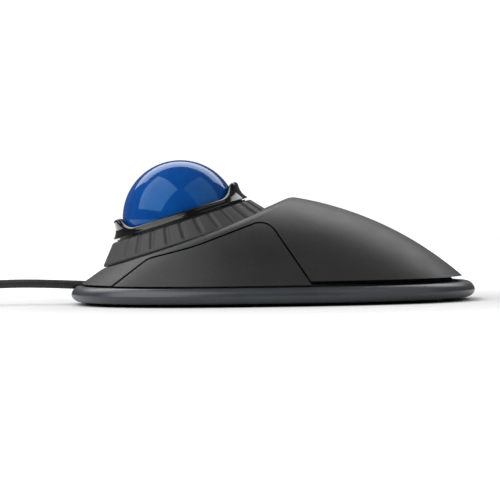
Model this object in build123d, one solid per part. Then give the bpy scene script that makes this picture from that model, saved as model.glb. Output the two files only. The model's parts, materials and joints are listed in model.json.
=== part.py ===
"""A wired trackball mouse: a 40 mm ball in a leaning socket, with a ribbed scroll ring turning round it.

The front, where the cable leaves, is at -X, the palm rest is at +X, and the mouse stands on z = 0.
The left button is at -Y. Everything but the cable is centred on x = 0, y = 0.
"""
from build123d import *
import os
from math import copysign, cos, pi, radians, sin, sqrt, tan

# ---- driving dimensions, in millimetres and degrees ----
BALL_RADIUS = 20.0
BALL_CENTRE = Vector(-31.8, 0, 29.4)
RING_TILT = 16.9  # the ring's axis leans this far to the front

MIDDLE_X = -6.0  # the widest place of the plan outline
FRONT_REACH = 63.8
REAR_REACH = 75.8
HALF_WIDTH = 57.8
ROUNDNESS = 2.4  # exponent of the plan outline; 2 is an ellipse
OUTLINE_POINTS = 32

FOOT_HEIGHT = 1.0
FLOOR_TOP = 2.6
RIM_BOTTOM, RIM_CREASE, RIM_TOP = 1.1, 3.75, 6.5
RIM_WALL_INSET = 6.0  # from the outline to the rim's inner wall
FLOOR_INSET = 4.0

WALL = 2.2  # covers and buttons
DOME_TOP = 37.8
DOME_TOP_X = -12.6
PALM_RADIUS = 118.0  # along the middle, to the rear
SIDE_RADIUS = 65.5  # across
BROW_RADIUS = 30.5  # along the middle, to the front
NOSE_SLOPE = 34.8
DOME_SLICES = 10
COLLAR_LINE = [(-80, 5.6), (-58.7, 12.3), (-31.2, 21.1), (-14.7, 27.0), (-2.3, 32.2), (6.6, 36.3), (16, 41)]
RAMP_SLOPE = 20.0
SHOULDER_ROUND = 6.0

PALM_EDGE, NOSE_EDGE, BUTTON_EDGE = 8.35, 7.25, 7.1  # the lower edges
SKIRT_TOP = 9.6
SKIRT_GAP, SKIRT_WALL = 0.8, 1.5

SEAM = [(-57.2, 4.8), (-42.3, 16), (-27, 19.8), (-2.1, 28.9), (14, 5)]
SEAM_ROUNDS = [10, 90, 6]
SEAM_GAP = 0.55
SEAM_INNER_Y = 31.6

POCKET_RADIUS, POCKET_FLOOR, POCKET_FLOOR_THICK = 31.0, -8.4, 2.4
POCKET_WALL = 1.8
CUP_INSIDE, CUP_OUTSIDE = 20.5, 22.2
CUP_TOP, CUP_FLANGE_BOTTOM = -0.3, -12.4
SUPPORT_RADIUS, SUPPORT_REACH, SUPPORT_BELOW = 1.25, 21.3, 40  # reach from the ball's centre
LENS_WINDOW_RADIUS = 4.0
HUB_INSIDE, HUB_OUTSIDE = 22.28, 23.2
RIB_COUNT = 30
SLOT_COUNT = 30

HINGE_X, HINGE_Z, HINGE_PIN_RADIUS = 12.0, 14.0, 1.6
SWITCH_X, SWITCH_Y = -18.0, 40.0
BOARD_BOTTOM, BOARD_TOP = 4.0, 5.6
SWITCH_TOP, PLUNGER_TOP, PRESS_GAP = 12.1, 12.6, 0.1

CASE_SCREWS = [(-54, 11), (-54, -11), (40, 26), (40, -26)]
BOARD_SCREWS = [(-38, 24), (-38, -24), (6, 26), (6, -26)]
FEET = [(-44, 28), (-44, -28), (52, 24), (52, -24)]
CUP_LUG_ANGLES = [45, 135, 225, 315]

CABLE_RADIUS = 1.5
CABLE_HEIGHT = 6.3
GROMMET_RADIUS = 2.3
CLAMP_X = (-57.4, -53.4)
CABLE_ROUTE = [
    (-58.55, 0, 6.3), (-72.5, 0, 7.0), (-87, 0.4, 7.5), (-101, 0.9, 7.1),
    (-112, 2.6, 4.6), (-121, 4.3, 2.7), (-131, 4.65, 2.3),
]
TAIL_ROUTE = [
    (-115.3, -19, 11.6), (-115.2, -8, 11.0), (-115.3, 3, 9.2), (-115.7, 13, 5.4), (-116, 22, 4.0),
]
COIL_CENTRE = (-138.0, -18.0)
COIL_RADIUS, COIL_BUNDLE, COIL_BOTTOM, COIL_TOP = 18.0, 6.2, 0.8, 13.2

RING_PLACE = Plane(
    origin=BALL_CENTRE,
    x_dir=(cos(radians(RING_TILT)), 0, sin(radians(RING_TILT))),
    z_dir=(-sin(radians(RING_TILT)), 0, cos(radians(RING_TILT))),
).location
BALL_PLACE = Location(BALL_CENTRE)

os.makedirs("parts", exist_ok=True)


def save(name, shape, group=False):
    """Write a node: a group of separate solids, or one solid, without the slivers beside it."""
    solids = sorted(shape.solids(), key=lambda solid: -solid.volume)
    if not group:
        print(name, "leaves out", round(sum(s.volume for s in solids[1:]), 3), "mm3")
    export_step(Compound(children=solids) if group else solids[0], f"parts/{name}.step")


def box(x, y, z):
    """A box from its three (low, high) pairs."""
    middle = [(a + b) / 2 for a, b in (x, y, z)]
    return Pos(*middle) * Box(x[1] - x[0], y[1] - y[0], z[1] - z[0])


def cable_way():
    """The passage for the cable through the wall of the tray and the edge of the nose."""
    return Pos(-65, 0, CABLE_HEIGHT) * Rot(0, 90, 0) * Cylinder(CABLE_RADIUS + 0.6, 13.5)


def post(x, y, low, high, radius):
    """An upright cylinder."""
    return Pos(x, y, (low + high) / 2) * Cylinder(radius, high - low)


def turned(points):
    """A solid of revolution about Z, from the (radius, height) corners of its profile."""
    return revolve(make_face(Plane.XZ * Polyline(*points, close=True)), Axis.Z, 360)


def mirrored(shape):
    return mirror(shape, Plane.XZ)


# ---- the outer form ----
def outline(height, front, rear, half_width, middle=MIDDLE_X):
    """A smooth closed outline at a height: superellipse quarters that share their width."""
    points = []
    for step in range(OUTLINE_POINTS):
        along, across = cos(2 * pi * step / OUTLINE_POINTS), sin(2 * pi * step / OUTLINE_POINTS)
        reach = rear if along > 0 else front
        points.append((
            middle + reach * copysign(abs(along) ** (2 / ROUNDNESS), along),
            half_width * copysign(abs(across) ** (2 / ROUNDNESS), across),
            height,
        ))
    return Wire([Spline(*points, periodic=True)])


def base_outline(inset, height):
    return outline(height, FRONT_REACH - inset, REAR_REACH - inset, HALF_WIDTH - inset)


def base_prism(inset, low, high):
    """The plan outline, set in, as an upright solid."""
    return extrude(make_face(base_outline(inset, low)), high - low, dir=(0, 0, 1))


def dome_slice(height, inset):
    """The dome's outline at a height. The inset moves its whole surface inwards."""
    side, palm, brow = SIDE_RADIUS - inset, PALM_RADIUS - inset, BROW_RADIUS - inset
    half_width = sqrt(side**2 - (height - DOME_TOP + SIDE_RADIUS) ** 2)
    rear_x = DOME_TOP_X + sqrt(palm**2 - (height - DOME_TOP + PALM_RADIUS) ** 2)
    above_brow_centre = height - DOME_TOP + BROW_RADIUS
    slope = radians(NOSE_SLOPE)
    if above_brow_centre > brow * cos(slope):
        front_x = DOME_TOP_X - sqrt(brow**2 - above_brow_centre**2)
    else:
        front_x = DOME_TOP_X - brow * sin(slope) - (brow * cos(slope) - above_brow_centre) / tan(slope)
    middle = MIDDLE_X + (DOME_TOP_X - MIDDLE_X) * (height / DOME_TOP) ** 3
    return outline(height, middle - front_x, rear_x - middle, half_width, middle)


def dome(inset):
    """The palm rest's dome, carried on over the front. Its slices get closer towards the top."""
    low, high = 0.5, DOME_TOP - inset
    heights = [low + (high - low) * (1 - (1 - k / DOME_SLICES) ** 2) for k in range(DOME_SLICES)]
    return Solid.make_loft([dome_slice(height, inset) for height in heights])


def above_collar(inset):
    """What is cut off the dome to leave the ramp that rises from the nose to the crest."""
    drop = ramp_drop(inset)
    side, high = -75, 80
    profile = Spline(*[(x, side, z - drop) for x, z in COLLAR_LINE])
    first, last = profile @ 0, profile @ 1
    roof = Polyline(last, (last.X, side, high), (first.X, side, high), first)
    face = make_face(Wire([*profile.edges(), *roof.edges()]))
    return extrude(face, -2 * side, dir=(0, 1, 0))


def body_form(inset):
    """The covers' common form, with the shoulder between ramp and dome rounded."""
    form = dome(inset) - above_collar(inset)
    ridge = [e for e in form.edges() if is_ridge(e, inset)]
    return fillet(ridge, SHOULDER_ROUND - inset / 2)


def ramp_drop(inset):
    """How far the ramp goes down when it is set in, square to its mean slope."""
    return inset / cos(radians(RAMP_SLOPE))


def is_ridge(edge, inset):
    """Whether an edge is on the line where the ramp meets the dome."""
    start, middle, end = edge @ 0, edge @ 0.5, edge @ 1
    above_base = min(start.Z, middle.Z, end.Z) > 8
    return above_base and abs(on_ramp(middle.X) - ramp_drop(inset) - middle.Z) < 0.3


def on_ramp(x):
    """Roughly the ramp's height, by straight lines between its points."""
    for (x0, z0), (x1, z1) in zip(COLLAR_LINE, COLLAR_LINE[1:]):
        if x0 <= x <= x1:
            return z0 + (z1 - z0) * (x - x0) / (x1 - x0)
    return 0


def seam_prism(gap):
    """The right button's side region: its outline seen from the side, drawn out along Y."""
    path = FilletPolyline(*[(x, 0, z) for x, z in SEAM], radius=SEAM_ROUNDS)
    closing = Line(path @ 1, path @ 0)
    face = make_face(Wire([*path.edges(), *closing.edges()]))
    if gap:
        face = offset(face, gap, kind=Kind.ARC)
    length = HALF_WIDTH + 10 - SEAM_INNER_Y
    return extrude(Pos(0, SEAM_INNER_Y, 0) * face, length, dir=(0, 1, 0))


def base_rim():
    """The bumper round the base: a lower and an upper band that meet in a crease."""
    lower = [(2.5, RIM_BOTTOM), (1.0, 1.8), (0.15, 2.9), (0, RIM_CREASE)]
    upper = [(0, RIM_CREASE), (1.0, 5.6), (2.0, 6.3), (3.4, RIM_TOP)]
    bands = [Solid.make_loft([base_outline(*at) for at in band]) for band in (lower, upper)]
    rim = bands[0] + bands[1]
    rim -= base_prism(FLOOR_INSET, 0, FLOOR_TOP) + base_prism(RIM_WALL_INSET, FLOOR_TOP, 12)
    notch_half = CABLE_RADIUS + 0.4
    notch = Pos(-66, 0, CABLE_HEIGHT) * Rot(0, 90, 0) * Cylinder(notch_half, 12)
    return rim - notch - box((-72, -60), (-notch_half, notch_half), (CABLE_HEIGHT, 12))


# ---- the ball, its socket and the ring ----
def ball_core():
    return BALL_PLACE * Sphere(BALL_RADIUS - 2.0)


def ball_shell():
    return BALL_PLACE * (Sphere(BALL_RADIUS) - Sphere(BALL_RADIUS - 1.7))


def support_directions():
    """From the ball's centre to each support ball, in the ring's frame."""
    below = radians(SUPPORT_BELOW)
    turns = [2 * pi * step / 3 for step in range(3)]
    return [Vector(cos(turn) * cos(below), sin(turn) * cos(below), -sin(below)) for turn in turns]


def ball_cup():
    """The socket: a sleeve on a bowl, a flange with four screwed lugs, and seats for the small balls."""
    flange_top = POCKET_FLOOR - POCKET_FLOOR_THICK
    cup = Sphere(CUP_OUTSIDE) - Pos(0, 0, 30 + CUP_TOP) * Box(60, 60, 60)
    cup += post(0, 0, CUP_FLANGE_BOTTOM, CUP_TOP, CUP_OUTSIDE)
    cup += post(0, 0, CUP_FLANGE_BOTTOM, flange_top, 23.2)
    for angle in CUP_LUG_ANGLES:
        cup += Rot(0, 0, angle) * box((16, 31), (-3.5, 3.5), (CUP_FLANGE_BOTTOM, flange_top))
        cup -= Rot(0, 0, angle) * Pos(28, 0, CUP_FLANGE_BOTTOM) * Cylinder(1.15, 6)
        cup -= Rot(0, 0, angle) * box((20.4, 23), (-2.6, 2.6), (CUP_TOP - 3.1, 1))
    for out in support_directions():
        cup += Pos(*(out * SUPPORT_REACH)) * Sphere(2.5)
    cup -= Sphere(CUP_INSIDE)
    for out in support_directions():
        cup -= Plane(origin=out * (SUPPORT_REACH - 0.3), z_dir=out) * Cylinder(SUPPORT_RADIUS + 0.03, 3.1)
    cup = RING_PLACE * cup
    return cup - post(BALL_CENTRE.X, 0, 0, BALL_CENTRE.Z - 15, LENS_WINDOW_RADIUS)


def support_balls():
    return [RING_PLACE * Pos(*(out * SUPPORT_REACH)) * Sphere(SUPPORT_RADIUS) for out in support_directions()]


def ball_bezel():
    """The gloss ring round the ball: a flared wall, cut down at the sides, on four tabs."""
    wall = Spline((24.2, 0.0), (22.9, 1.6), (22.2, 3.5), (21.8, 5.2))
    lip = ThreePointArc(wall @ 1, (21.0, 6.15), (20.3, 5.3))
    rest = Polyline(lip @ 1, (20.3, CUP_TOP), (24.2, CUP_TOP), wall @ 0)
    section = make_face(Plane.XZ * Wire([*wall.edges(), *lip.edges(), *rest.edges()]))
    bezel = revolve(section, Axis.Z, 360)
    rise = ThreePointArc((14.5, 1.95), (18.74, 3.71), (20.5, 7.95))
    run = Polyline(rise @ 1, (20.5, 9), (-20.5, 9), (-20.5, 7.95))
    fall = ThreePointArc((-20.5, 7.95), (-18.74, 3.71), (-14.5, 1.95))
    flat = Line((-14.5, 1.95), (14.5, 1.95))
    dip = make_face(Plane.XZ * Wire([*rise.edges(), *run.edges(), *fall.edges(), *flat.edges()]))
    bezel -= extrude(Pos(0, 30, 0) * dip, 60, dir=(0, -1, 0))
    tabs = turned([
        (20.6, CUP_TOP + 0.1), (22.05, CUP_TOP + 0.1), (22.05, CUP_TOP - 2.9), (20.6, CUP_TOP - 2.9),
    ])
    for angle in CUP_LUG_ANGLES:
        bezel += tabs & Rot(0, 0, angle) * box((20, 23), (-2.5, 2.5), (-4, 1))
    return RING_PLACE * bezel


def scroll_ring():
    """The rubber cone, with a round-bottomed groove down each of its flutes."""
    cone = turned([
        (HUB_OUTSIDE, -1.2), (24.5, -1.25), (25.0, -1.4), (25.35, -1.75), (30.4, -7.6), (30.3, -7.9),
        (30.0, -8.05), (28.3, -8.05), (28.3, -6.9), (24.6, -2.6), (HUB_OUTSIDE, -2.6),
    ])
    slope = Vector(5.05, 0, -5.85).normalized()
    out = Vector(5.85, 0, 5.05).normalized()
    start = Vector(25.35, 0, -1.75) - slope * 2 + out * 0.55
    end = Vector(30.4, 0, -7.6) - slope * 1.9 + out * 0.55
    groove = Pos(*((start + end) / 2)) * Rot(0, 180 - 40.8, 0) * Cylinder(1.2, (end - start).length)
    groove += Pos(*end) * Sphere(1.2)
    for step in range(RIB_COUNT):
        cone -= Rot(0, 0, (step + 0.5) * 360 / RIB_COUNT) * groove
    return RING_PLACE * cone


def ring_carrier():
    """The hub on the cup's sleeve, the cone under the rubber and the slotted skirt."""
    carrier = turned([
        (HUB_INSIDE, POCKET_FLOOR + 0.05), (HUB_INSIDE, -0.7), (HUB_OUTSIDE, -0.7), (HUB_OUTSIDE, -2.6),
        (24.6, -2.6), (28.3, -6.9), (28.3, -8.0), (27.5, -8.0), (27.5, -7.3), (24.3, -3.6),
        (HUB_OUTSIDE, -3.6), (HUB_OUTSIDE, POCKET_FLOOR + 0.05),
    ])
    skirt = turned([(24.7, -3.9), (25.3, -4.6), (25.3, -8.2), (24.7, -8.2)])
    slot = box((24, 26), (-0.9, 0.9), (-7.9, -5.6))
    for step in range(SLOT_COUNT):
        skirt -= Rot(0, 0, step * 360 / SLOT_COUNT) * slot
    return RING_PLACE * (carrier + skirt)


# ---- covers and buttons ----
def pocket_void():
    return RING_PLACE * Pos(0, 0, 30 + POCKET_FLOOR) * Cylinder(POCKET_RADIUS, 60)


def pocket_tub(outer):
    """The floor and wall of the pocket that the ring turns in."""
    low, high = POCKET_FLOOR - POCKET_FLOOR_THICK, 12
    hole, bore, wall = CUP_OUTSIDE + 0.2, POCKET_RADIUS - 1, POCKET_RADIUS + POCKET_WALL
    tub = turned([
        (hole, low), (hole, POCKET_FLOOR), (bore, POCKET_FLOOR), (bore, high), (wall, high), (wall, low),
    ])
    return (RING_PLACE * tub) & outer


def hinge_blocks(mid_skin):
    """Two plates under the palm rest, each with a hole for the button's pin."""
    plates = [box((HINGE_X - 3, HINGE_X + 3), y, (HINGE_Z - 3, 34)) for y in ((34, 36.4), (39.8, 42.2))]
    hole = Pos(HINGE_X, 38, HINGE_Z) * Rot(90, 0, 0) * Cylinder(HINGE_PIN_RADIUS + 0.05, 20)
    return ((plates[0] + plates[1]) & mid_skin) - hole


def top_cover(outer, inner, mid_skin):
    """The palm rest, the collar with the ring's pocket, and the nose, as one moulding."""
    shell = outer - inner - box((-90, MIDDLE_X), (-70, 70), (-1, NOSE_EDGE)) - cable_way()
    shell -= box((MIDDLE_X, 90), (-70, 70), (-1, PALM_EDGE))
    shell -= RING_PLACE * Pos(0, 0, 10) * Cylinder(POCKET_RADIUS, 60)
    shell += pocket_tub(outer) - pocket_void()
    window = box((22, 26.9), (-2.8, 2.8), (-14, -5))
    shell -= RING_PLACE * window
    gap = seam_prism(SEAM_GAP)
    shell -= gap
    shell -= mirrored(gap)
    blocks = hinge_blocks(mid_skin)
    shell += blocks
    shell += mirrored(blocks)
    for x, y in CASE_SCREWS:
        shell += post(x, y, 7.6, 40, 3.2) & (mid_skin - pocket_void())
        shell -= post(x, y, 0, 12.5, 1.3)
    low = POCKET_FLOOR - POCKET_FLOOR_THICK
    for angle in CUP_LUG_ANGLES:
        shell -= RING_PLACE * Rot(0, 0, angle) * Pos(28, 0, low) * Cylinder(0.95, 3.2)
    for y in (-4.5, 4.5):
        shell += RING_PLACE * Pos(29, y, low - 1.15) * Cylinder(1.3, 2.5)
    return shell


def right_button(outer, inner, mid_skin):
    """The button's skin, the arm back to its hinge pin and the post over its switch."""
    skin = (outer - inner) & seam_prism(0)
    skin -= box((-90, 90), (0, 80), (-1, BUTTON_EDGE))
    arm = box((-9, -5), (36.8, 52), (12, 16)) + box((-9, HINGE_X), (36.8, 39.4), (12, 16))
    arm += Pos(HINGE_X, 38.1, HINGE_Z) * Rot(90, 0, 0) * Cylinder(3, 2.6)
    arm += Pos(HINGE_X, 38.1, HINGE_Z) * Rot(90, 0, 0) * Cylinder(HINGE_PIN_RADIUS, 8)
    arm += box((SWITCH_X - 1.5, SWITCH_X + 1.5), (SWITCH_Y - 1.5, 52), (PLUNGER_TOP + PRESS_GAP, 17))
    return skin + (arm & mid_skin)


# ---- the base and what stands on it ----
def base_tray():
    """The floor, the skirt that stands up inside the covers, and the posts and saddle on the floor."""
    tray = base_prism(FLOOR_INSET, FOOT_HEIGHT, FLOOR_TOP)
    skirt = base_prism(RIM_WALL_INSET, FLOOR_TOP - 0.2, SKIRT_TOP) & dome(WALL + SKIRT_GAP)
    inside = base_prism(RIM_WALL_INSET + SKIRT_WALL, FLOOR_TOP, SKIRT_TOP + 1)
    skirt -= inside & dome(WALL + SKIRT_GAP + SKIRT_WALL)
    tray += skirt - box((-59.2, -50), (-4.3, 4.3), (FLOOR_TOP, SKIRT_TOP + 1))
    for x, y in CASE_SCREWS:
        tray += post(x, y, FLOOR_TOP - 0.2, 7.5, 3.6)
    for x, y in BOARD_SCREWS:
        tray += post(x, y, FLOOR_TOP - 0.2, BOARD_BOTTOM, 2.5)
        tray -= post(x, y, 1.8, BOARD_BOTTOM + 1, 0.85)
    for x, y in CASE_SCREWS:
        tray -= post(x, y, 0, 4.0, 2.7)
        tray -= post(x, y, 0, 9.0, 1.5)
        tray -= post(x, y, 7.5, SKIRT_TOP + 1, 3.8)
    grommet_space = Pos(-55.5, 0, CABLE_HEIGHT) * Rot(0, 90, 0) * Cylinder(GROMMET_RADIUS, 12)
    tray += box(CLAMP_X, (-4, 4), (FLOOR_TOP - 0.2, CABLE_HEIGHT)) - grommet_space
    return tray - cable_way()


def cable_grommet():
    """The rubber sleeve on the cable, held between the tray's saddle and the clamp."""
    return Pos(-55.4, 0, CABLE_HEIGHT) * Rot(0, 90, 0) * Cylinder(GROMMET_RADIUS, 6.0)


def cable_clamp():
    cap = box(CLAMP_X, (-4, 4), (CABLE_HEIGHT, CABLE_HEIGHT + 3.0))
    return cap - Pos(-55.5, 0, CABLE_HEIGHT) * Rot(0, 90, 0) * Cylinder(GROMMET_RADIUS, 12)


def cable_wires():
    """Four thin leads from the grommet down to the socket on the board."""
    wires = []
    for k in range(4):
        y = (k - 1.5) * 1.1
        corners = [(-52.4, y, CABLE_HEIGHT), (-50, y, CABLE_HEIGHT), (-47.5, y, 7.2), (-44, y, 7.2)]
        path = FilletPolyline(*corners, radius=[2, 2])
        wires.append(sweep(Plane(path @ 0, z_dir=path % 0) * Circle(0.45), path=path))
    return wires


def main_board():
    half = Polyline((-45, 0), (-45, 26), (-36, 36), (-28, 43.5), (8, 43.5), (16, 30), (16, 0))
    right = make_face(Wire([*half.edges(), *Line((16, 0), (-45, 0)).edges()]))
    both = Pos(0, 0, BOARD_BOTTOM) * (right + mirrored(right))
    board = extrude(both, BOARD_TOP - BOARD_BOTTOM, dir=(0, 0, 1))
    for x, y in BOARD_SCREWS:
        board -= post(x, y, 0, 10, 1.2)
    return board


def board_parts():
    """Capacitors, a crystal and small chips, each on the board."""
    top = BOARD_TOP
    small = [(-16, -8), (-12, -14), (2, -14), (6, -6), (4, 12), (-14, 16), (-40, -10), (-40, 10)]
    pieces = [box((x - 1.2, x + 1.2), (y - 0.7, y + 0.7), (top, top + 0.9)) for x, y in small]
    pieces.append(box((-9, 1), (8, 11), (top, top + 2.5)))
    pieces += [post(x, y, top, top + 4.5, 2.5) for x, y in ((-26, 26), (-8, -24))]
    return pieces


def screw(shank, head, length, head_height):
    """A pan-head screw that points up, its head's underside at z = 0."""
    piece = Pos(0, 0, length / 2) * Cylinder(shank, length)
    piece += Pos(0, 0, -head_height / 2) * Cylinder(head, head_height)
    slot = Pos(0, 0, -head_height) * (Box(head * 1.3, 0.5, 1.2) + Box(0.5, head * 1.3, 1.2))
    return piece - slot


def switch_body():
    """The switch's housing, with a well for its plunger."""
    x, y = SWITCH_X, SWITCH_Y
    body = box((x - 6.4, x + 6.4), (y - 2.9, y + 2.9), (BOARD_TOP, SWITCH_TOP))
    return body - box((x - 1.45, x + 1.45), (y - 0.95, y + 0.95), (10.6, 13))


def switch_plunger():
    x, y = SWITCH_X, SWITCH_Y
    return box((x - 1.3, x + 1.3), (y - 0.8, y + 0.8), (11.0, PLUNGER_TOP))


# ---- the ring's light barrier ----
def ring_sensor():
    """A fork that stands up through the pocket's floor, one arm each side of the slotted skirt."""
    base = box((23.4, 26.6), (-2.4, 2.4), (-13.2, -11.2))
    arms = [box(x, (-2.4, 2.4), (-11.2, -6.7)) for x in ((23.5, 24.3), (25.7, 26.5))]
    return RING_PLACE * (base + arms[0] + arms[1])


def ring_sensor_board():
    return RING_PLACE * box((20.0, 31.0), (-6, 6), (-14.2, -13.2))


def ring_sensor_ribbon():
    """A flat strip from the small board down to the main board."""
    top = RING_PLACE * Pos(27, 0, -14.25)
    start = top.position
    bends = [(start.X, start.Z), (start.X + 1.5, start.Z - 4), (1, 12), (-1, BOARD_TOP + 2.5)]
    edges = [(x, 0, z) for x, z in bends] + [(x + 0.3, 0, z) for x, z in reversed(bends)]
    face = make_face(Polyline(*edges, close=True))
    return extrude(Pos(0, -3, 0) * face, 6, dir=(0, 1, 0))


# ---- the cable ----
def route_tube(points, radius):
    """A tube of straight runs joined by tangent arcs that are as large as the runs allow."""
    places = [Vector(*p) for p in points]
    runs = [b - a for a, b in zip(places, places[1:])]
    radii = []
    for before, after in zip(runs, runs[1:]):
        turn = radians(before.get_angle(after))
        radii.append(0.45 * min(before.length, after.length) / tan(turn / 2))
    path = FilletPolyline(*points, radius=radii)
    tube = sweep(Plane(path @ 0, z_dir=path % 0) * Circle(radius), path=path)
    expected = pi * radius**2 * path.length
    print("tube radii", [round(r, 1) for r in radii], "length", round(path.length, 1),
          "volume", round(tube.volume, 1), "of", round(expected, 1))
    return tube


def cable_coil():
    half = COIL_BUNDLE
    ring = turned([(COIL_RADIUS - half, COIL_BOTTOM), (COIL_RADIUS + half, COIL_BOTTOM),
                   (COIL_RADIUS + half, COIL_TOP), (COIL_RADIUS - half, COIL_TOP)])
    return Pos(*COIL_CENTRE, 0) * fillet(ring.edges(), 2.0)


def cable_tie():
    """A strap round the coil's bundle, lying flat under it."""
    x, y = COIL_CENTRE[0] - COIL_RADIUS, COIL_CENTRE[1]
    outer = box((x - 7.2, x + 7.2), (y - 2, y + 2), (0, 14.0))
    inner = box((x - 6.4, x + 6.4), (y - 3, y + 3), (0.7, 13.3))
    return fillet((outer - inner).edges().filter_by(Axis.Y), 0.3)


def usb_plug():
    """The moulded body with its neck, the metal shell and the tongue inside it."""
    x, y, _ = TAIL_ROUTE[-1]
    body = fillet(box((x - 8, x + 8), (y + 5, y + 25), (0.2, 7.8)).edges().filter_by(Axis.Y), 2.0)
    body = fillet(body.edges().group_by(Axis.Y)[0], 1.5)
    neck = Pos(x, y + 3.5, 4.0) * Rot(90, 0, 0) * Cylinder(2.6, 7)
    body += neck
    metal = box((x - 6, x + 6), (y + 25, y + 37), (1.75, 6.25))
    metal -= box((x - 5.6, x + 5.6), (y + 24, y + 38), (2.15, 5.85))
    for side in (-2.8, 2.8):
        metal -= box((x + side - 1, x + side + 1), (y + 29, y + 31.4), (5, 7))
    tongue = box((x - 5.6, x + 5.6), (y + 25, y + 36.5), (2.15, 4.0))
    return body, metal, tongue


# ---- writing the nodes ----
outer, mid_skin, inner = [body_form(inset) for inset in (0, WALL / 2, WALL)]
button = right_button(outer, inner, mid_skin)

save("top_cover", top_cover(outer, inner, mid_skin))
save("right_button", button)
save("left_button", mirrored(button))
save("rim_bumper", base_rim())
save("base_tray", base_tray())

save("ball_core", ball_core())
save("ball_shell", ball_shell())
save("ball_cup", ball_cup())
save("support_balls", Compound(children=support_balls()), group=True)
save("ball_bezel", ball_bezel())
save("scroll_ring", scroll_ring())
save("ring_carrier", ring_carrier())

ball_x = BALL_CENTRE.X
save("motion_sensor", box((ball_x - 6, ball_x + 6), (-5, 5), (BOARD_TOP, 7.4)))
save("sensor_lens", post(ball_x, 0, 7.4, 9.8, 3.6) - BALL_PLACE * Sphere(BALL_RADIUS + 0.4))
save("sensor_lamp", Pos(ball_x + 11, 0, 7.1) * Rot(0, 90, 0) * Cylinder(1.5, 5))

save("main_board", main_board())
save("controller_chip", box((-12, -4), (-4, 4), (BOARD_TOP, 6.9)))
save("board_parts", Compound(children=board_parts()), group=True)
save("ring_sensor", ring_sensor())
save("ring_sensor_board", ring_sensor_board())
save("ring_sensor_ribbon", ring_sensor_ribbon())

for side, place in (("right", lambda shape: shape), ("left", mirrored)):
    save(f"{side}_switch", place(switch_body()))
    save(f"{side}_plunger", place(switch_plunger()))

save("cable_grommet", cable_grommet())
save("cable_clamp", cable_clamp())
save("cable_wires", Compound(children=cable_wires()), group=True)
save("cable_socket", box((-44, -40.5), (-3.5, 3.5), (BOARD_TOP, 8.4)))

case_screw = screw(1.25, 2.4, 8.0, 1.4)
board_screw = screw(0.85, 1.7, 3.4, 1.0)
save("case_screws", Compound(children=[Pos(x, y, 4.0) * case_screw for x, y in CASE_SCREWS]), group=True)
save("board_screws", Compound(
    children=[Pos(x, y, BOARD_TOP) * Rot(180, 0, 0) * board_screw for x, y in BOARD_SCREWS]), group=True)
save("cup_screws", Compound(children=[
    RING_PLACE * Rot(0, 0, angle) * Pos(28, 0, CUP_FLANGE_BOTTOM) * screw(0.95, 1.8, 3.0, 1.1)
    for angle in CUP_LUG_ANGLES]), group=True)
save("rubber_feet", Compound(children=[post(x, y, 0, FOOT_HEIGHT, 5.0) for x, y in FEET]), group=True)

save("cable", route_tube(CABLE_ROUTE, CABLE_RADIUS))
save("cable_tail", route_tube(TAIL_ROUTE, CABLE_RADIUS))
save("cable_coil", cable_coil())
save("cable_tie", cable_tie())
plug_body, plug_shell, plug_tongue = usb_plug()
save("usb_plug_body", plug_body)
save("usb_plug_shell", plug_shell)
save("usb_plug_tongue", plug_tongue)
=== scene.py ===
import json
import math

import bmesh
import bpy
from mathutils import Matrix, Vector


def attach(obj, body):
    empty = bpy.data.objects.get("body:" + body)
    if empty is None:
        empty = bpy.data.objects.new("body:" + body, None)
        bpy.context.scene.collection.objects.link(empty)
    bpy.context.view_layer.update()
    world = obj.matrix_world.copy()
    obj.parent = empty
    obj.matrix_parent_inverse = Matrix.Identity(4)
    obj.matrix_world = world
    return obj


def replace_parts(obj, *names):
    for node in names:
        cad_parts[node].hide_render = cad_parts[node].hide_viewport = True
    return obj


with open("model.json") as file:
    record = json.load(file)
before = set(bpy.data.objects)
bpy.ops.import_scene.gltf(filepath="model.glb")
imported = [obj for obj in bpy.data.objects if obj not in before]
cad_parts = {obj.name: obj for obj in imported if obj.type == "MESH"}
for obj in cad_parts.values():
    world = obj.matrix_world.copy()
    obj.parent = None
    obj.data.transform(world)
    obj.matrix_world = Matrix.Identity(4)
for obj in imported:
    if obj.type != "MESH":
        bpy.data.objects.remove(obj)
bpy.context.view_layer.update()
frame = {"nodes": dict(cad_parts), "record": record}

NODES = frame["nodes"]
MM = 0.001

# ---- the camera ----
CAMERA_TARGET = Vector((-7.86, 0, 17.95)) * MM
CAMERA_DISTANCE = 1.4
CAMERA_ELEVATION = math.radians(1.2)
CAMERA_ROLL = math.radians(-0.784)
CAMERA_LENS = 291.0

# ---- the cable: routes and coil in millimetres ----
CABLE_RADIUS = 1.5 * MM
CABLE_ROUTE = [
    (-58.55, 0, 6.3), (-72.5, 0, 7.0), (-87, 0.4, 7.5), (-101, 0.9, 7.1),
    (-112, 2.6, 4.6), (-121, 4.3, 2.7), (-131, 4.65, 2.3),
]
COIL_CENTRE = (-138.0, -18.0)
COIL_INSIDE, COIL_OUTSIDE = 13.35, 22.65
COIL_LAYERS = [2.3, 5.4, 8.5, 11.6]
COIL_PITCH = 3.1
COIL_STEPS = 16  # points in each turn
COIL_START = math.radians(90)
COIL_SHORT, LAYER_CLIMB = 0.25, 0.5  # in turns: what the last layer lacks, and a step up to the next layer
TAIL_ROUTE = [
    (-115.3, -19, 11.6), (-115.2, -8, 11.0), (-115.3, 3, 9.2), (-115.7, 13, 5.4), (-116, 22, 4.0),
]

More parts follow.
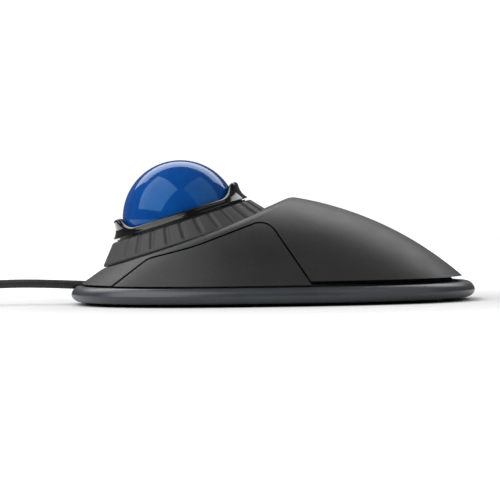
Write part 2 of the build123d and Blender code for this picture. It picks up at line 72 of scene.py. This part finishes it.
# ---- the ball and the ring: radii and heights in millimetres over the ball's centre ----
BALL_CENTRE = Vector((-31.8, 0, 29.4)) * MM
RING_TILT = math.radians(16.9)
RIB_COUNT = 30
RIB_STEPS = 24
RING_TOP = [(23.2, -2.6), (23.2, -1.2), (24.5, -1.25), (25.0, -1.4)]
RING_SLOPE = [(25.35, -1.75), (30.4, -7.6)]
SLOPE_STEPS = 16
RING_FOOT = [(30.35, -7.95), (30.15, -8.3), (28.3, -8.3), (28.3, -6.9), (24.6, -2.6)]
GROOVE_RADIUS, GROOVE_LIFT, GROOVE_END = 1.2, 0.55, 1.9
SHARP_EDGE = math.radians(50)

# ---- the bezel: radii and heights in millimetres over the ball's centre ----
BEZEL_STEPS = 720
BEZEL_INSIDE, BEZEL_OUTSIDE, BEZEL_FLARE = 20.35, 22.5, 1.7
BEZEL_FOOT, BEZEL_FLARE_TOP, BEZEL_ROUND = -0.3, 5.2, 0.95
FLARE_POWER = 3
WALL_STEPS, LIP_STEPS = 6, 10
LIP_LOW, LIP_HIGH, LIP_SOFTNESS = 1.95, 6.15, 0.5
DIP_HALF, DIP_RADIUS = 14.5, 6.0

# ---- the dark ribs inside the cover, behind the rear seams, which stand in for the shade seen through the slits, in millimetres ----
RIB_LINE = [(-1.1, 26.9), (11.9, 7.8)]
RIB_HALF, RIB_Y = 1.7, (30.0, 31.2)
RIB_BEVEL = 0.3

# ---- the setting ----
FLOOR_HALF = 1.1
FLOOR_GLOW, GLOW_START, GLOW_END = 0.6, 0.08, 0.3  # the floor glows away from the object, to stay white
WORLD_LIGHT, WORLD_SEEN = 0.12, 1.05
LAMP_DISTANCE = 1.0
LAMPS = [  # name, direction from the ball, width, height, radiance
    ("left_softbox", (-0.66, -0.3, 0.68), 1.15, 1.1, 2.6),
    ("right_softbox", (0.66, -0.3, 0.68), 1.0, 1.05, 0.7),
    ("back_softbox", (0, 0.74, 0.67), 1.6, 0.5, 2.7),
]


def make_camera():
    data = bpy.data.cameras.new("camera")
    data.lens = CAMERA_LENS
    data.sensor_width = 36.0
    data.clip_start = 0.01
    camera = bpy.data.objects.new("camera", data)
    bpy.context.scene.collection.objects.link(camera)
    back = Vector((0, -math.cos(CAMERA_ELEVATION), math.sin(CAMERA_ELEVATION)))
    camera.location = CAMERA_TARGET + back * CAMERA_DISTANCE
    facing = (-back).to_track_quat("-Z", "Y").to_matrix()
    camera.rotation_euler = (facing @ Matrix.Rotation(CAMERA_ROLL, 3, "Z")).to_euler()
    bpy.context.scene.camera = camera


# ---- materials ----
def linear(level):
    """A display level from 0 to 255 as linear light."""
    share = level / 255
    return share / 12.92 if share <= 0.04045 else ((share + 0.055) / 1.055) ** 2.4


def colour(red, green, blue):
    return (linear(red), linear(green), linear(blue), 1.0)


class Finish:
    """A procedural material in the making: a principled shader and the nodes that feed it."""

    def __init__(self, name, **values):
        self.material = bpy.data.materials.new(name)
        self.material.use_nodes = True
        self.tree = self.material.node_tree
        self.shader = self.tree.nodes["Principled BSDF"]
        self.place = self.tree.nodes.new("ShaderNodeTexCoord").outputs["Object"]
        self.height = None
        for socket, value in values.items():
            self.shader.inputs[socket.replace("_", " ")].default_value = value

    def node(self, kind, inputs=(), **settings):
        made = self.tree.nodes.new(kind)
        for key, value in settings.items():
            setattr(made, key, value)
        for socket, value in dict(inputs).items():
            if isinstance(value, bpy.types.NodeSocket):
                self.tree.links.new(value, made.inputs[socket])
            else:
                made.inputs[socket].default_value = value
        return made

    def noise(self, size, detail=2.0, roughness=0.5, stretch=(1, 1, 1)):
        """Noise whose features are about size metres across."""
        mapped = self.node("ShaderNodeMapping", {"Vector": self.place, "Scale": stretch})
        found = self.node("ShaderNodeTexNoise", {
            "Vector": mapped.outputs["Vector"], "Scale": 1 / size, "Detail": detail, "Roughness": roughness})
        return found.outputs["Fac"]

    def spread(self, source, low, high, start=0.3, end=0.7):
        """A number that goes from low to high as the source goes from start to end."""
        ranged = self.node("ShaderNodeMapRange", {
            "Value": source, "From Min": start, "From Max": end, "To Min": low, "To Max": high})
        return ranged.outputs["Result"]

    def add(self, first, second):
        return self.node("ShaderNodeMath", {0: first, 1: second}, operation="ADD").outputs["Value"]

    def blend(self, source, first, second):
        """A colour between two, by the source."""
        mixed = self.node("ShaderNodeMix", data_type="RGBA")
        self.tree.links.new(source, mixed.inputs[0])
        mixed.inputs[6].default_value = first
        mixed.inputs[7].default_value = second
        return mixed.outputs[2]

    def set(self, socket, source):
        self.tree.links.new(source, self.shader.inputs[socket])

    def bump(self, source, depth):
        """Relief of that depth in metres, on top of what is there already."""
        made = self.node("ShaderNodeBump", {"Height": source, "Distance": depth, "Strength": 1.0})
        if self.height:
            self.tree.links.new(self.height, made.inputs["Normal"])
        self.height = made.outputs["Normal"]
        self.tree.links.new(self.height, self.shader.inputs["Normal"])


def moulded(name, dark, light, roughness, grain=0.45 * MM, depth=0.018 * MM, ior=1.5):
    """Moulded plastic with a fine spark-eroded grain and slight wear in its sheen."""
    finish = Finish(name, IOR=ior)
    patches = finish.noise(9 * MM, detail=3)
    speckle = finish.noise(grain, detail=2)
    mixed = finish.add(finish.spread(patches, 0, 0.5), finish.spread(speckle, 0, 0.5))
    finish.set("Base Color", finish.blend(mixed, dark, light))
    finish.set("Roughness", finish.spread(patches, roughness - 0.03, roughness + 0.03))
    finish.bump(speckle, depth)
    return finish.material


def cover_plastic():
    return moulded("cover_matte", colour(27, 27, 28), colour(37, 37, 38), 0.46,
                   grain=0.6 * MM, depth=0.05 * MM, ior=1.4)


def rim_plastic():
    return moulded("rim_grey", colour(50, 54, 59), colour(60, 64, 69), 0.33, grain=0.6 * MM, depth=0.01 * MM)


def base_plastic():
    return moulded("base_black", colour(14, 14, 14), colour(22, 22, 23), 0.5)


def ball_resin():
    finish = Finish("ball_blue", Roughness=0.07, IOR=1.46)
    finish.shader.inputs["Specular Tint"].default_value = (0.3, 0.72, 1.0, 1.0)
    clouds = finish.noise(7 * MM, detail=2)
    flakes = finish.noise(0.3 * MM, detail=1)
    mixed = finish.add(finish.spread(clouds, 0, 0.6), finish.spread(flakes, 0, 0.4))
    finish.set("Base Color", finish.blend(mixed, colour(8, 62, 138), colour(14, 80, 156)))
    return finish.material


def bezel_gloss():
    finish = Finish("bezel_gloss", IOR=1.45)
    smears = finish.noise(5 * MM, detail=3)
    finish.set("Base Color", finish.blend(finish.spread(smears, 0, 1), colour(6, 6, 6), colour(12, 11, 10)))
    finish.set("Roughness", finish.spread(smears, 0.06, 0.12))
    return finish.material


def grip_rubber(name="ring_rubber", dark=colour(50, 50, 50), light=colour(64, 64, 63)):
    finish = Finish(name, Roughness=0.62, IOR=1.5)
    speckle = finish.noise(0.35 * MM, detail=3, roughness=0.6)
    dust = finish.noise(3 * MM, detail=4)
    mixed = finish.add(finish.spread(dust, 0, 0.6), finish.spread(speckle, 0, 0.4))
    finish.set("Base Color", finish.blend(mixed, dark, light))
    finish.set("Roughness", finish.spread(dust, 0.55, 0.68))
    finish.bump(speckle, 0.02 * MM)
    return finish.material


def cable_jacket():
    finish = Finish("cable_rubber", IOR=1.5)
    dust = finish.noise(2.5 * MM, detail=3)
    speckle = finish.noise(0.3 * MM, detail=2)
    finish.set("Base Color", finish.blend(finish.spread(dust, 0, 1), colour(20, 20, 21), colour(34, 34, 35)))
    finish.set("Roughness", finish.spread(dust, 0.42, 0.52))
    finish.bump(speckle, 0.008 * MM)
    return finish.material


def metal(name, tone, roughness):
    """Plated or brushed steel with fine scratches."""
    finish = Finish(name, Metallic=1.0)
    scratches = finish.noise(0.8 * MM, detail=3, stretch=(1, 8, 1))
    dull, bright = (colour(level, level, level) for level in (tone - 18, tone))
    finish.set("Base Color", finish.blend(finish.spread(scratches, 0, 1), dull, bright))
    finish.set("Roughness", finish.spread(scratches, roughness - 0.06, roughness + 0.06))
    finish.bump(scratches, 0.004 * MM)
    return finish.material


def clear_lens():
    finish = Finish("lens_clear", IOR=1.49, Transmission_Weight=1.0, Roughness=0.03)
    haze = finish.noise(2 * MM)
    finish.set("Base Color", finish.blend(haze, colour(225, 232, 235), colour(245, 248, 250)))
    return finish.material


MATERIALS = {
    "cover_matte": cover_plastic,
    "rim_grey": rim_plastic,
    "base_black": base_plastic,
    "ball_blue": ball_resin,
    "ball_inner": lambda: moulded("ball_inner", colour(8, 40, 120), colour(12, 48, 130), 0.2),
    "bezel_gloss": bezel_gloss,
    "ring_rubber": grip_rubber,
    "carrier_black": lambda: moulded("carrier_black", colour(20, 20, 20), colour(28, 28, 28), 0.45),
    "support_ceramic": lambda: moulded("support_ceramic", colour(225, 222, 214), colour(238, 235, 228), 0.12),
    "sensor_black": lambda: moulded("sensor_black", colour(20, 20, 21), colour(30, 30, 31), 0.35),
    "lens_clear": clear_lens,
    "lamp_red": lambda: moulded("lamp_red", colour(170, 20, 14), colour(190, 30, 20), 0.15),
    "board_green": lambda: moulded("board_green", colour(20, 80, 48), colour(28, 96, 58), 0.3, grain=2 * MM),
    "parts_tan": lambda: moulded("parts_tan", colour(130, 100, 66), colour(160, 128, 88), 0.35),
    "ribbon_white": lambda: moulded("ribbon_white", colour(205, 205, 200), colour(220, 220, 215), 0.45),
    "switch_black": lambda: moulded("switch_black", colour(24, 24, 25), colour(34, 34, 35), 0.4),
    "plunger_white": lambda: moulded("plunger_white", colour(215, 214, 208), colour(228, 226, 220), 0.4),
    "socket_white": lambda: moulded("socket_white", colour(215, 212, 204), colour(226, 224, 216), 0.42),
    "wire_mixed": lambda: moulded("wire_mixed", colour(150, 30, 26), colour(168, 40, 34), 0.4),
    "screw_steel": lambda: metal("screw_steel", 190, 0.32),
    "foot_rubber": lambda: grip_rubber("foot_rubber", colour(24, 24, 24), colour(36, 36, 36)),
    "cable_rubber": cable_jacket,
    "tie_black": lambda: moulded("tie_black", colour(26, 26, 27), colour(36, 36, 37), 0.4),
    "plug_black": lambda: grip_rubber("plug_black", colour(26, 26, 27), colour(38, 38, 39)),
    "plug_steel": lambda: metal("plug_steel", 205, 0.24),
    "plug_tongue": lambda: moulded("plug_tongue", colour(222, 221, 216), colour(234, 233, 229), 0.4),
}
finishes_made = {}


def finish_of(slot):
    """The material of a slot, made once."""
    if slot not in finishes_made:
        finishes_made[slot] = MATERIALS[slot]()
    return finishes_made[slot]


def paint_frame():
    """Give every CAD node the finish of its slot in the record."""
    for part in frame["record"]["subparts"]:
        mesh = NODES[part["node"]].data
        mesh.materials.clear()
        mesh.materials.append(finish_of(part["material_slot"]))


def link(name, data, slot, body):
    """A new piece of the object, with a slot's finish, riding on a body."""
    piece = bpy.data.objects.new(name, data)
    bpy.context.scene.collection.objects.link(piece)
    data.materials.clear()
    data.materials.append(finish_of(slot))
    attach(piece, body)
    return piece


# ---- the scroll ring ----
def fluted(radius, height, angle):
    """A point of the ring's profile, lowered where a groove passes."""
    top, bottom = (Vector(end) for end in RING_SLOPE)
    slope = (bottom - top).normalized()
    out = Vector((-slope.y, slope.x))
    offset = Vector((radius, height)) - top
    pitch = 2 * math.pi / RIB_COUNT
    aside = radius * ((angle % pitch) - pitch / 2)
    past = max(0.0, offset.dot(slope) - (bottom - top).length + GROOVE_END)
    inside = GROOVE_RADIUS ** 2 - aside ** 2 - past ** 2
    drop = max(0.0, offset.dot(out) - GROOVE_LIFT + math.sqrt(inside)) if inside > 0 else 0.0
    return Vector((radius, height)) - out * drop


def turned_piece(name, steps, section, slot, body, node):
    """A piece round the leaning axis, from a section at each angle; it takes the place of a CAD node."""
    tilt = Matrix.Rotation(-RING_TILT, 3, "Y")
    shape = bmesh.new()
    loops = []
    for step in range(steps):
        angle = 2 * math.pi * step / steps
        loops.append([
            shape.verts.new(BALL_CENTRE + tilt @ Vector((r * math.cos(angle), r * math.sin(angle), z)) * MM)
            for r, z in section(angle)])
    count = len(loops[0])
    for here, after in zip(loops, loops[1:] + loops[:1]):
        for index in range(count):
            follow = (index + 1) % count
            shape.faces.new((here[index], after[index], after[follow], here[follow])).smooth = True
    bmesh.ops.recalc_face_normals(shape, faces=shape.faces)
    data = bpy.data.meshes.new(name)
    shape.to_mesh(data)
    shape.free()
    data.set_sharp_from_angle(angle=SHARP_EDGE)
    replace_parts(link(name, data, slot, body), node)


def make_ring():
    """The rubber cone with thirty smooth ribs."""
    top, bottom = (Vector(end) for end in RING_SLOPE)
    slope = [tuple(top.lerp(bottom, step / SLOPE_STEPS)) for step in range(SLOPE_STEPS + 1)]
    profile = RING_TOP + slope + RING_FOOT

    def section(angle):
        return [fluted(*point, angle) for point in profile]

    turned_piece("ring_ribs", RIB_COUNT * RIB_STEPS, section, "ring_rubber", "scroll_ring", "scroll_ring")


# ---- the bezel ----
def lip_height(angle):
    """The top of the bezel: high at the front and the rear, low along both sides."""
    along = abs((BEZEL_INSIDE + BEZEL_OUTSIDE) / 2 * math.cos(angle)) - DIP_HALF
    if along <= 0:
        return LIP_LOW
    rise = DIP_RADIUS - math.sqrt(max(0.0, DIP_RADIUS ** 2 - along ** 2))
    gap = LIP_LOW + rise - LIP_HIGH
    return LIP_HIGH + (gap - math.sqrt(gap ** 2 + LIP_SOFTNESS ** 2)) / 2


def bezel_section(angle):
    """The section of the bezel at an angle, with a round lip on a flared wall."""
    shoulder = lip_height(angle) - BEZEL_ROUND
    wall = []
    for step in range(WALL_STEPS + 1):
        height = shoulder * step / WALL_STEPS
        flare = max(0.0, 1 - height / BEZEL_FLARE_TOP) ** FLARE_POWER
        wall.append((BEZEL_OUTSIDE + BEZEL_FLARE * flare, height))
    half = (wall[-1][0] - BEZEL_INSIDE) / 2
    lip = [
        (BEZEL_INSIDE + half + half * math.cos(turn), shoulder + BEZEL_ROUND * math.sin(turn))
        for turn in (math.pi * step / LIP_STEPS for step in range(1, LIP_STEPS + 1))]
    return wall + lip + [(BEZEL_INSIDE, BEZEL_FOOT), (wall[0][0], BEZEL_FOOT)]


def make_bezel():
    """The gloss ring round the ball."""
    turned_piece("bezel_ring", BEZEL_STEPS, bezel_section, "bezel_gloss", "root", "ball_bezel")


# ---- inside the cover ----
def make_seam_shade_rib(name, side):
    """A black rib that closes the slit just behind the seam between a button and the palm rest; it is painted
    shade, a dark sheet standing in for the shade inside the cover.
    """
    top, foot = (Vector(end) for end in RIB_LINE)
    along = (foot - top).normalized()
    across = Vector((-along.y, along.x)) * RIB_HALF
    shape = bmesh.new()
    faces = []
    for y in RIB_Y:
        faces.append([
            shape.verts.new(Vector((p.x, side * y, p.y)) * MM)
            for p in (top - across, top + across, foot + across, foot - across)])
    near, far = faces
    shape.faces.new(near)
    shape.faces.new(far)
    for index in range(4):
        follow = (index + 1) % 4
        shape.faces.new((near[index], near[follow], far[follow], far[index]))
    bmesh.ops.recalc_face_normals(shape, faces=shape.faces)
    bmesh.ops.bevel(shape, geom=shape.edges[:], offset=RIB_BEVEL * MM, segments=2, affect="EDGES")
    data = bpy.data.meshes.new(name)
    shape.to_mesh(data)
    shape.free()
    link(name, data, "base_black", "root")


# ---- the cable ----
def coil_turns():
    """Points of the coil, layer on layer, each winding in or out by a pitch a turn."""
    points = []
    turns_per_layer = (COIL_OUTSIDE - COIL_INSIDE) / COIL_PITCH
    count = int((len(COIL_LAYERS) * turns_per_layer - COIL_SHORT) * COIL_STEPS)
    for step in range(1, count):
        turn = step / COIL_STEPS
        layer, within = divmod(turn, turns_per_layer)
        layer = int(layer)
        share = within / turns_per_layer
        if layer % 2:
            share = 1 - share
        radius = COIL_OUTSIDE - share * (COIL_OUTSIDE - COIL_INSIDE)
        rise = min(1.0, max(0.0, (within - turns_per_layer + LAYER_CLIMB) / LAYER_CLIMB))
        above = COIL_LAYERS[min(layer + 1, len(COIL_LAYERS) - 1)] - COIL_LAYERS[layer]
        angle = COIL_START + 2 * math.pi * turn
        points.append((
            COIL_CENTRE[0] + radius * math.cos(angle),
            COIL_CENTRE[1] + radius * math.sin(angle),
            COIL_LAYERS[layer] + above * rise,
        ))
    return points


def make_cable():
    points = CABLE_ROUTE + coil_turns() + TAIL_ROUTE
    data = bpy.data.curves.new("cable_run", "CURVE")
    data.dimensions = "3D"
    data.bevel_depth = CABLE_RADIUS
    data.bevel_resolution = 6
    data.resolution_u = 6
    data.use_fill_caps = True
    spline = data.splines.new("NURBS")
    spline.points.add(len(points) - 1)
    for point, place in zip(spline.points, points):
        point.co = (place[0] * MM, place[1] * MM, place[2] * MM, 1.0)
    spline.order_u = 3
    spline.use_endpoint_u = True
    cable = link("cable_run", data, "cable_rubber", "root")
    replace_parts(cable, "cable", "cable_coil", "cable_tail")


# ---- the setting ----
def make_floor():
    mesh = bpy.data.meshes.new("floor")
    half = FLOOR_HALF
    corners = [(-half, -half, 0), (half, -half, 0), (half, half, 0), (-half, half, 0)]
    mesh.from_pydata(corners, [], [(0, 1, 2, 3)])
    floor = bpy.data.objects.new("floor", mesh)
    bpy.context.scene.collection.objects.link(floor)
    finish = Finish("floor_white", Roughness=0.9)
    paper = finish.noise(0.3, detail=2)
    finish.set("Base Color", finish.blend(paper, (0.86, 0.86, 0.86, 1), (0.88, 0.88, 0.88, 1)))
    finish.shader.inputs["Emission Color"].default_value = (1, 1, 1, 1)
    distance = finish.node("ShaderNodeVectorMath", {0: finish.place}, operation="LENGTH").outputs["Value"]
    finish.set("Emission Strength", finish.spread(distance, 0, FLOOR_GLOW, GLOW_START, GLOW_END))
    mesh.materials.append(finish.material)


def make_world():
    world = bpy.data.worlds.new("studio")
    world.use_nodes = True
    tree = world.node_tree
    background = tree.nodes["Background"]
    background.inputs["Color"].default_value = (1, 1, 1, 1)
    path = tree.nodes.new("ShaderNodeLightPath")
    strength = tree.nodes.new("ShaderNodeMapRange")
    strength.inputs["To Min"].default_value = WORLD_LIGHT
    strength.inputs["To Max"].default_value = WORLD_SEEN
    tree.links.new(path.outputs["Is Camera Ray"], strength.inputs["Value"])
    tree.links.new(strength.outputs["Result"], background.inputs["Strength"])
    bpy.context.scene.world = world


def softbox(name, direction, distance, width, height, radiance):
    """A rectangular lamp that faces the object."""
    data = bpy.data.lights.new(name, "AREA")
    data.shape = "RECTANGLE"
    data.size, data.size_y = width, height
    data.energy = radiance * math.pi * width * height
    lamp = bpy.data.objects.new(name, data)
    bpy.context.scene.collection.objects.link(lamp)
    away = Vector(direction).normalized()
    lamp.location = BALL_CENTRE + away * distance
    lamp.rotation_euler = away.to_track_quat("Z", "Y").to_euler()
    lamp.visible_camera = False


def light_scene():
    for name, direction, width, height, radiance in LAMPS:
        softbox(name, direction, LAMP_DISTANCE, width, height, radiance)


make_camera()
make_cable()
make_ring()
make_bezel()
# painted shade: dark ribs behind both rear seams keep the slits as dark as the shade inside the cover
make_seam_shade_rib("left_seam_shade_rib", -1)
make_seam_shade_rib("right_seam_shade_rib", 1)
paint_frame()
make_floor()
make_world()
light_scene()
bpy.context.scene.view_settings.view_transform = "Standard"
